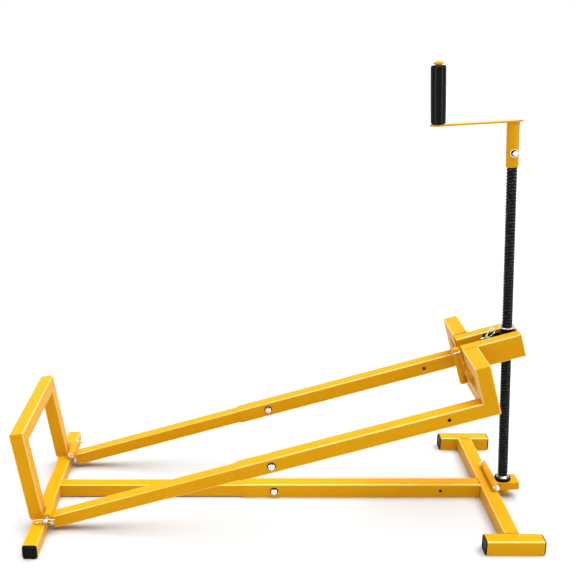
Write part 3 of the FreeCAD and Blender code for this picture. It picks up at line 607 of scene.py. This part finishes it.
def softened(name, node_name, body, width, segments=3, group=None):
    """Copy a solid, weld its triangles, drop the lines inside flat faces, and bevel what is sharp.
    With a group, a face on a bend, where its normal lies between two of the group's axes, is marked for more coat
    and for a painted highlight."""
    mesh = nodes[node_name].data.copy()
    shape = bmesh.new()
    shape.from_mesh(mesh)
    bmesh.ops.remove_doubles(shape, verts=shape.verts, dist=SAME_POINT)
    bmesh.ops.dissolve_limit(shape, angle_limit=math.radians(1.0), verts=shape.verts, edges=shape.edges)
    shape.to_mesh(mesh)
    shape.free()
    if group:
        steepest = np.abs(face_normals(mesh) @ group[1]).max(axis=1)
        mark(mesh, "gloss_and_painted_highlight", "FACE", steepest < 0.985)
    slot_name = slot_of[node_name]
    made = piece(name, mesh, body, FINISH_OF[slot_name], [node_name], crease=40)
    bevel = made.modifiers.new("edge", "BEVEL")
    bevel.width = width * MM
    bevel.segments = segments
    bevel.limit_method = "ANGLE"
    bevel.angle_limit = math.radians(38)
    bevel.harden_normals = True
    return made


bar = softened("crank_arm_bar", "crank_arm", "spindle", 0.9)
# The bar's top face gets the same mark, so it is painted a paler gold: a painted highlight on its top.
mark(bar.data, "gloss_and_painted_highlight", "FACE", face_normals(bar.data) @ SCREW[1][:, 2] > 0.9)
softened("pivot_block_soft", "pivot_block", "spindle_foot", 0.5)
softened("hinge_web", "spindle_moving_knuckle", "spindle_foot", 0.8)
softened("near_fixed_knuckles", "near_rear_knuckles", "base", 1.1)
softened("far_fixed_knuckles", "far_rear_knuckles", "base", 1.1)
softened("spindle_knuckles", "spindle_fixed_knuckles", "base", 1.3)
softened("near_arm_barrel", "near_arm_knuckle", "lift_frame", 1.1)
softened("far_arm_barrel", "far_arm_knuckle", "lift_frame", 1.1)
softened("prong_plate", "prong_end_plate", "lift_frame", 1.2, group=ARMS)
softened("trunnion_nut", "lift_nut", "lift_nut", 0.8)
softened("adapter_socket_body", "drill_adapter", "drill_adapter", 0.7)

# %% [markdown]
# ## Square tubes
# All the tubes are drawn square tube with sawn ends. The solids have their outlines right, bends and
# bolt holes too. Softened copies round the sawn ends and the holes' rims, and carry the bends' marks.

# %% Tubes
HOOP = (np.zeros(3), slanted(math.radians(8.6)))
BASE_TUBES = ["base_beam_outer", "base_beam_inner", "front_cross_tube", "rear_cross_tube", "near_foot",
              "far_foot"]
HOOP_TUBES = ["near_hoop_leg", "far_hoop_leg", "hoop_top_bar"]
LIFT_TUBES = ["near_arm_inner", "far_arm_inner", "near_arm_outer", "far_arm_outer", "near_post",
              "far_post", "near_upper_tube", "far_upper_tube", "lower_cross_tube", "near_prong",
              "far_prong"]
for body, axes, tube_names in (("base", FLAT, BASE_TUBES), ("base", HOOP, HOOP_TUBES),
                               ("lift_frame", ARMS, LIFT_TUBES)):
    for tube_name in tube_names:
        softened(tube_name + "_drawn", tube_name, body, 0.7, 2, axes)

# %% [markdown]
# **Plugs.** Each open tube end has a moulded plug with a rolled edge and a shallow square panel in its
# face. A rounded square is drawn at several heights, each a little smaller than the last, and the
# outlines are joined like the hoops of a barrel.

# %% End plugs
def square_stack(side, corner, steps, columns=64):
    """At angle a the outline is sgn(cos a)|cos a|^k, sgn(sin a)|sin a|^k, k falling with the corner's
    size; each step gives how far the outline lies inside the tube's and how high it stands."""
    a = np.linspace(0, 2 * math.pi, columns, endpoint=False)
    power = 0.9 * math.sqrt(corner / side)
    outline = np.stack([np.sign(f) * np.abs(f) ** power for f in (np.cos(a), np.sin(a))], -1)
    inset, height = np.array(steps, float).T[:, :, None]
    flat = (side / 2 - inset)[..., None] * outline
    heights = np.broadcast_to(height[..., None], flat.shape[:2] + (1,))
    return np.concatenate([flat, heights], -1), False, True


def plug(side, at, axis):
    """Spigot in the bore, rolled lip over the wall, sunk panel in the face."""
    wall, spigot, lip, panel = 2.7, 14.0, 1.75, 2.5
    roll = [(lip * (1 - math.cos(t)), lip + lip * math.sin(t)) for t in np.linspace(0, math.pi / 2, 6)]
    steps = [(side / 2, -spigot), (3.4, -spigot), (wall, -12.0), (wall, 0), (0, 0)] + roll
    steps += [(6.0, 2 * lip), (6.6, 3.1), (7.4, 2.6), (8.2, panel), (side / 2, panel)]
    return aimed(square_stack(side, 5.5, steps), axis, at)


FOOT_OUTSIDE, FOOT_END = 312.0, 75.0
REAR_END, HINGE_AHEAD = 321.5, 3.9
foot_y = FOOT_OUTSIDE - HALF
for side_word, at_y in (("near", -foot_y), ("far", foot_y)):
    sheets = [plug(TUBE, (at_x, at_y, HALF), axis) for at_x, axis in ((-FOOT_END, "-x"), (FOOT_END, "x"))]
    drawn(side_word + "_foot_end_plugs", sheets, FLAT, "base", PLASTIC,
          [side_word + "_foot_plugs"], crease=50)
CROSS_X = REAR_X - HINGE_AHEAD - HALF_REAR
sheets = [plug(REAR_TUBE, (CROSS_X, at_y, HALF_REAR), axis)
          for at_y, axis in ((-REAR_END, "-y"), (REAR_END, "y"))]
drawn("rear_end_plugs", sheets, FLAT, "base", PLASTIC, ["rear_plugs"], crease=50)

# %% [markdown]
# **Pins.** The hitch pins that carry the rear hinges are turned from bright bar, with a rounded head at
# one end and a tapered tip at the other. The hanging pin behind the frame is painted with it, and the
# keeper pin crosses the lift nut's ears.

# %% Turned pins
def pin(radius, length, taper=1.2):
    """Plain bar with both ends tapered."""
    return turned(rounded([(0, 0), (radius - taper, 0), (radius, taper), (radius, length - taper),
                           (radius - taper, length), (0, length)], 0.6))


REAR_LINE = (ARMS[0], np.eye(3))
HITCH_R, HITCH_LONG, HITCH_HEAD_Y = 6.0, 95.0, 138.5
for side_word, sign, axis in (("near", -1, "-y"), ("far", 1, "y")):
    sheets = [aimed(sheet, axis, (0, sign * HITCH_HEAD_Y, 0))
              for sheet in (pin(HITCH_R, HITCH_LONG, 2.0), disc(9.0, -4.0, 0.0, 1.6))]
    drawn(side_word + "_hinge_pin", sheets, REAR_LINE, "base", ZINC,
          [side_word + "_hitch_pin"])
HANG_R, HANG_LONG = 10.0, 110.0
HANG_X, HANG_TOP = POST_BACK - HANG_R, FRAME_HIGH - 14.0
hanging = aimed(pin(HANG_R, HANG_LONG, 2.5), "z", (HANG_X, 0, HANG_TOP - HANG_LONG))
drawn("hanging_pin_bar", [hanging], ARMS, "lift_frame", ENAMEL, ["hanging_pin"])
NUT_LEVEL = 426.66
KEEPER, KEEPER_R, KEEPER_LONG = (-19.5, 0.0, NUT_LEVEL + 11.0), 5.0, 40.4
keeper = aimed(pin(KEEPER_R, KEEPER_LONG), "y", (KEEPER[0], -KEEPER_LONG / 2, KEEPER[2]))
drawn("keeper_pin_bar", [keeper], SCREW, "lift_nut", ZINC, ["keeper_pin"])
WASHER_LOW, WASHER_HIGH = NUT_LEVEL + 41.78, NUT_LEVEL + 44.78
drawn("nut_flange_washer", [on_screw(ring(14.15, 23.0, WASHER_LOW, WASHER_HIGH))], SCREW, "lift_nut",
      ZINC, ["lift_nut_washer"])

# %% [markdown]
# **Bent wire.** A retaining clip is one spring wire: a straight leg that passes through the pin, a round
# eye, and a leg that steps down and hugs the pin from outside. Its path is laid out as a bender would,
# in straight lengths and turns, and a circle is carried along it.

# %% Wire clips and the hanging pin's ring
ARC_STEP, RUN_STEP = 12, 6


def bent(start, along, up, moves):
    """Lengths run on straight; a radius and degrees turn by centre - radius (up cos t - along sin t)."""
    here, along, up = (np.array(v, float) for v in (start, along, up))
    heading, points = 0.0, [here[None]]
    for move in moves:
        if isinstance(move, tuple):
            radius = math.copysign(move[0], move[1])
            centre = here + radius * (up * math.cos(heading) - along * math.sin(heading))
            share = np.linspace(0, 1, 3 + int(abs(move[1]) / ARC_STEP))[1:, None]
            t = heading + np.radians(move[1]) * share
            points.append(centre - radius * (up * np.cos(t) - along * np.sin(t)))
            heading = float(t[-1, 0])
        else:
            t = np.linspace(0, move, 3 + int(move / RUN_STEP))[1:, None]
            points.append(here + t * (along * math.cos(heading) + up * math.sin(heading)))
        here = points[-1][-1]
    return np.concatenate(points)


def carried(path, flat_axis, radius, columns=12, closed=False):
    """Circle of a radius about each path point, in the plane of the flat axis and the path's own normal."""
    ahead = np.gradient(path, axis=0)
    if closed:
        ahead = np.roll(path, -1, axis=0) - np.roll(path, 1, axis=0)
    side = np.cross(np.array(flat_axis, float), ahead)
    side /= np.linalg.norm(side, axis=1, keepdims=True)
    radius = np.broadcast_to(np.array(radius, float), len(path))
    if not closed:
        path, side = (np.concatenate([v[:1], v, v[-1:]]) for v in (path, side))
        radius = np.concatenate([[0], radius, [0]])
    a = np.linspace(0, 2 * math.pi, columns, endpoint=False)[None, :, None]
    ring_points = np.cos(a) * side[:, None] + np.sin(a) * np.array(flat_axis, float)
    return path[:, None] + radius[:, None, None] * ring_points, closed, True


def clip_wire(centre, along, up, shaft, eye, wire):
    """Leg through the shaft, an eye of half a turn, and a leg that steps down 50 degrees onto the shaft.
    It steps by two arcs of radius r, with 2 r (1 - cos 50) = the eye's width less the leg's distance
    from the shaft's axis."""
    centre, along, up = (np.array(v, float) for v in (centre, along, up))
    hug, drop, tail = shaft / 2 + wire / 2 + 0.1, 50.0, 1.9 * shaft
    settle = (2 * eye - hug) / (2 * (1 - math.cos(math.radians(drop))))
    fall = 2 * settle * math.sin(math.radians(drop))
    lead = max(fall, 2.2 * shaft)
    moves = [tail + lead, (eye, 180.0), (settle, drop), (settle, -drop), lead - fall + shaft / 2,
             (2 * wire, -28.0), 2 * wire]
    path = bent(centre + along * tail, -along, up, moves)
    return carried(path, np.cross(-along, up), wire / 2)


CLIP_Y, CLIP_SLOPE = 223.5, math.radians(38)
for side_word, sign in (("near", -1), ("far", 1)):
    clip = clip_wire((0, sign * CLIP_Y, 0), (1, 0, 0), (0, 0, -1), 2 * HITCH_R, eye=5.7, wire=3.6)
    drawn(side_word + "_hinge_clip", [clip], REAR_LINE, "base", YELLOW_ZINC,
          [side_word + "_hitch_clip"], crease=60)
down, out = math.sin(CLIP_SLOPE), math.cos(CLIP_SLOPE)
clip = clip_wire(KEEPER, (-out, 0, -down), (-down, 0, out), 2 * KEEPER_R, eye=8.5, wire=3.5)
drawn("keeper_wire_clip", [clip], SCREW, "lift_nut", ZINC, ["keeper_clip"], crease=60)
round_path = turned([(11.5, 0.0)], 48)[0][0]
wire_ring = aimed(carried(round_path, (0, 0, 1), 1.5, closed=True), "z", (HANG_X, 0, HANG_TOP - 10.0))
drawn("hanging_pin_wire_ring", [wire_ring], ARMS, "lift_frame", ZINC,
      ["hanging_pin_ring"], crease=60)

# %% [markdown]
# **Welds.** Hand-laid beads join the tubes, and the paint covers them. A bead is a thin bar along the
# seam whose thickness swells and falls every few millimetres, half of it sunk in the metal.

# %% Weld beads
def bead(start, end, size, phase):
    """Radius = size x (0.78 + 0.22 |sin(pi s / ripple + phase)|^0.6) at length s, with a slow drift of
    6% added, falling to nothing over both ends."""
    ripple, spacing, end_run = 3.4, 0.8, 2.5
    start, end = np.array(start, float), np.array(end, float)
    length = np.linalg.norm(end - start)
    s = np.linspace(0, length, max(8, int(length / spacing)))
    swell = 0.78 + 0.22 * np.abs(np.sin(math.pi * s / ripple + phase)) ** 0.6
    swell = swell + 0.06 * np.sin(1.3 * s + 3 * phase)
    close = np.sqrt(np.clip(np.minimum(s, length - s) / end_run, 0.02, 1))
    path = start + s[:, None] * (end - start) / length
    flat_axis = np.eye(3)[np.abs(end - start).argmin()]
    return carried(path, flat_axis, size * swell * close, 8)


PRONG_SIDE, ARM_HIGH, INSET = 57.0, ARM_LEVEL + HALF, 4.0
frame_beads = []
for number, sign in enumerate((-1, 1)):
    y = sign * PRONG_SIDE
    frame_beads += [
        bead((POST_BACK + 2, y, FRAME_HIGH), (POST_FRONT - 1, y, FRAME_HIGH), 2.4 + 0.8 * sign, number),
        bead((POST_FRONT, y, FRAME_HIGH - 3), (POST_FRONT, y, FRAME_HIGH - TUBE + 2), 2.8, 1 + number)]
    y = sign * (ARM_OUTSIDE - TUBE)
    frame_beads += [
        bead((POST_BACK + INSET, y, ARM_HIGH), (POST_FRONT - INSET, y, ARM_HIGH), 2.4, 2 + number),
        bead((POST_FRONT, y, ARM_HIGH - INSET), (POST_FRONT, y, FRAME_LOW + INSET), 2.4, 3 + number),
        bead((POST_BACK, y, ARM_HIGH - INSET), (POST_BACK, y, FRAME_LOW + INSET), 2.4, 4 + number)]
drawn("frame_weld_beads", frame_beads, ARMS, "lift_frame", WELD, crease=70)

HOOP_BACK, HOOP_SEAM, SEAM = 8.6, 15.0, HALF - INSET
base_beads = [bead((-HALF, -SEAM, TUBE), (-HALF, SEAM, TUBE), 2.4, 0.4)]
for number, sign in enumerate((-1, 1)):
    y = sign * (FOOT_OUTSIDE - TUBE)
    base_beads += [bead((-SEAM, y, TUBE), (SEAM, y, TUBE), 2.4, number),
                   bead((HALF, y, TUBE - INSET), (HALF, y, INSET), 2.4, number),
                   bead((-HALF, y, TUBE - INSET), (-HALF, y, INSET), 2.4, 2 + number)]
    y = sign * HALF
    base_beads += [bead((-HALF, y, TUBE - INSET), (-HALF, y, INSET), 2.4, 5 + number)]
    back, front = CROSS_X - HOOP_BACK - HOOP_SEAM, CROSS_X - HOOP_BACK + HOOP_SEAM
    for y in (sign * (ARM_OUTSIDE - REAR_TUBE), sign * ARM_OUTSIDE):
        base_beads += [bead((back, y, REAR_TUBE), (front, y, REAR_TUBE), 2.3, number)]
drawn("base_weld_beads", base_beads, FLAT, "base", WELD, crease=70)

round_seam = turned([(SLEEVE_R + 0.1, SLEEVE_TOP)], 60)[0][0]
lumps = 1.9 + 0.45 * np.abs(np.sin(np.arange(60) * 1.9))
drawn("crank_weld_bead", [on_screw(carried(round_seam, (0, 0, 1), lumps, 8, closed=True))], SCREW,
      "spindle", WELD, crease=70)

# %% [markdown]
# ## Bolts and nuts
# Each bolt shows a chamfered head with a thin washer face, and beyond its nut a few turns of thread.
# The same two shapes serve every bolt, so one function makes them from a bolt's four sizes.

# %% Cross bolts
# Of each kind of bolt: the shank, the width over the head's corners, the head's and the nut's height.
LOCK_BOLT = (10.0, 19.6, 6.4, 8.0)
CRANK_BOLT = (8.0, 13.0, 6.4, 6.2)
HINGE_BOLT = (12.0, 21.0, 7.5, 10.0)
BEAM_BOLT_X, ARM_BOLT_X, CRANK_BOLT_UP = -620.0, 621.0, SLEEVE_LOW + 38.0
CRANK_WASHER, NUT_SEAT_Y = 1.8, 14.7
HINGE_BOLT_MID, HINGE_BOLT_SPAN = 13.0, 133.0


def bolt_and_nut(at_x, at_z, y_mid, span, shank, across, head_high, nut_high):
    """Sheets of a bolt across a tube along Y: head on the -Y side, nut and thread's end on the +Y side."""
    near, far, face_high = y_mid - span / 2, y_mid + span / 2, 0.9
    head = aimed(hexagon(across, head_high - face_high), "-y", (at_x, near - face_high, at_z))
    face = aimed(disc(across * 0.38, 0, 1.0, 0.1), "-y", (at_x, near, at_z))
    tail, _ = threaded(shank / 2, 0.5, 1.5, 0, nut_high + shank / 4, per_turn=6, columns=20, tip=1.2)
    tail = aimed(tail, "y", (at_x, far, at_z))
    nut = aimed(hexagon(across, nut_high, both_ends=True), "y", (at_x, far, at_z))
    return [head, face, tail], [nut]


def painted_shade_washer(at_x, near_y, at_z, inner=5.3, outer=11.6):
    """A thin black washer that paints the shaded rim round a bright head: painted shade."""
    return aimed(ring(inner, outer, 0.0, 0.9, 0.25), "-y", (at_x, near_y, at_z))


# Black washers under the lock bolts' heads are painted shade: they draw the dark rim round each head.
drawn("beam_bolt_painted_shade_washer", [painted_shade_washer(BEAM_BOLT_X, -HALF, HALF)], FLAT, "base", BLACK_OXIDE)
drawn("arm_bolt_painted_shade_washers", [painted_shade_washer(ARM_BOLT_X, side_y - HALF, ARM_LEVEL) for side_y in (-ARM_Y, ARM_Y)],
      ARMS, "lift_frame", BLACK_OXIDE)
bolt, nut = bolt_and_nut(BEAM_BOLT_X, HALF, 0.0, TUBE, *LOCK_BOLT)
drawn("beam_lock_bolt", bolt, FLAT, "base", ZINC, ["base_beam_bolt"])
drawn("beam_lock_nut", nut, FLAT, "base", ZINC, ["base_beam_nut"])

arm_bolts, arm_nuts = [], []
for side_y in (-ARM_Y, ARM_Y):
    bolt, nut = bolt_and_nut(ARM_BOLT_X, ARM_LEVEL, side_y, TUBE, *LOCK_BOLT)
    arm_bolts += bolt
    arm_nuts += nut
drawn("arm_lock_bolts", arm_bolts, ARMS, "lift_frame", ZINC, ["arm_bolts"])
drawn("arm_lock_nuts", arm_nuts, ARMS, "lift_frame", ZINC, ["arm_nuts"])

bolt, nut = bolt_and_nut(SCREW_X, CRANK_BOLT_UP, 0.0, 2 * (SLEEVE_R + CRANK_WASHER), *CRANK_BOLT)
# A black ring under the crank bolt's head paints the shaded crescent round it.
painted_shade_ring = painted_shade_washer(SCREW_X, -SLEEVE_R - CRANK_WASHER, CRANK_BOLT_UP, inner=4.2, outer=8.6)
drawn("crank_bolt_painted_shade_ring", [painted_shade_ring], SCREW, "spindle", BLACK_OXIDE)
drawn("crank_lock_bolt", bolt, SCREW, "spindle", ZINC, ["crank_bolt"])
nut_seat = aimed(disc(6.8, 0, 5.0, 0.2), "y", (SCREW_X, NUT_SEAT_Y, CRANK_BOLT_UP))
drawn("crank_lock_nut", nut + [nut_seat], SCREW, "spindle", ZINC, ["crank_nut"])
softened("crank_lock_washer", "crank_washer", "spindle", 0.3, 2)

bolt, nut = bolt_and_nut(FRONT_X, FRONT_Z, HINGE_BOLT_MID, HINGE_BOLT_SPAN, *HINGE_BOLT)
drawn("front_hinge_bolt", bolt, FLAT, "base", ZINC, ["spindle_hinge_bolt"])
drawn("front_hinge_nut", nut, FLAT, "base", ZINC, ["spindle_hinge_nut"])

# %% [markdown]
# ## Stage, light and camera
# The lift stands on white, seen from a little above, with very soft shadows. A studio has a curved
# sweep of paper for that, but its bend would show from behind. A flat pale floor that ends far outside
# every view has no bend, and the white world takes over from it at the horizon.

# %% Floor
def floor_finish():
    """Two close greys in wide patches."""
    finish = Finish("pale_floor", Roughness=0.9)
    patch = finish.noise(0.6, 2.0)
    finish.wear(Base_Color=finish.blend(patch, (0.565, 0.568, 0.573, 1.0), (0.577, 0.580, 0.585, 1.0)))
    return finish.done()


FLOOR_REACH = 900000.0
ends = np.linspace(-FLOOR_REACH, FLOOR_REACH, 5)
across, along = np.meshgrid(ends, ends, indexing="ij")
floor_sheet = (np.stack([across, along, 0 * across], -1), False, False)
floor = placed("floor", mesh_of("floor", [floor_sheet], FLAT))
floor.data.materials.append(floor_finish())

# %% [markdown]
# **Light.** A broad sun gives the even light and the soft shadows. The world is white up to 19 degrees
# above the horizon, where the enamel's upright faces mirror it, and fades almost to black by 38, so
# that the tops keep their colour. Two narrow strips draw a line of gloss along the round black pieces.
# They give no diffuse light, because that would flatten everything else.

# %% Lights and world
SUN_POWER, SUN_SPREAD, SUN_TURN = 6.1, math.radians(70), (math.radians(-4), math.radians(8), 0.0)
STRIP_WIDE, STRIP_HIGH, STRIP_LEVEL, STRIP_POWER = 0.22, 2.4, 1.35, 60.0
STRIPS = {"left_strip": (-2.7, -1.9, -53.0), "right_strip": (2.1, -2.1, 47.0)}
FADE = {"From Min": 0.32, "From Max": 0.62, "To Min": 1.03, "To Max": 0.02}
overhead = placed("overhead", bpy.data.lights.new("overhead", "SUN"))
overhead.data.energy = SUN_POWER
overhead.data.angle = SUN_SPREAD
overhead.rotation_euler = SUN_TURN
for strip_name, (strip_x, strip_y, strip_turn) in STRIPS.items():
    strip = placed(strip_name, bpy.data.lights.new(strip_name, "AREA"))
    strip.data.shape = "RECTANGLE"
    strip.data.size, strip.data.size_y = STRIP_WIDE, STRIP_HIGH
    strip.data.energy = STRIP_POWER
    strip.visible_diffuse = False
    strip.location = (strip_x, strip_y, STRIP_LEVEL)
    strip.rotation_euler = (math.radians(90), 0.0, math.radians(strip_turn))
print("lamps", [lamp.name for lamp in bpy.data.lights])
world = bpy.data.worlds.new("studio")
world.use_nodes = True
sky = world.node_tree.nodes
where = sky.new("ShaderNodeTexCoord")
split = sky.new("ShaderNodeSeparateXYZ")
ramp = sky.new("ShaderNodeMapRange")
ramp.interpolation_type = "SMOOTHSTEP"
for socket, value in FADE.items():
    ramp.inputs[socket].default_value = value
sky["Background"].inputs["Color"].default_value = (1.0, 1.0, 1.0, 1.0)
world.node_tree.links.new(where.outputs["Generated"], split.inputs[0])
world.node_tree.links.new(split.outputs["Z"], ramp.inputs["Value"])
world.node_tree.links.new(ramp.outputs[0], sky["Background"].inputs["Strength"])
bpy.context.scene.world = world
bpy.context.scene.view_settings.view_transform = "Standard"

# %% [markdown]
# **Camera.** It looks a little down and straight at the lift's side. A small shift of the lens frames
# the lift sideways, because turning the camera instead would slant the lines of the base.

# %% Camera
CAMERA_AT, CAMERA_TILT, CAMERA_SHIFT = (-0.7037, -2.3262, 1.3725), 72.4, 0.0741
camera = placed("camera", bpy.data.cameras.new("camera"))
camera.location = CAMERA_AT
camera.rotation_euler = (math.radians(CAMERA_TILT), 0.0, 0.0)
camera.data.lens = 56.0
camera.data.sensor_width = 36.0
camera.data.shift_x = CAMERA_SHIFT
bpy.context.scene.camera = camera
print("camera looks down by", round(90 - CAMERA_TILT, 1), "degrees")
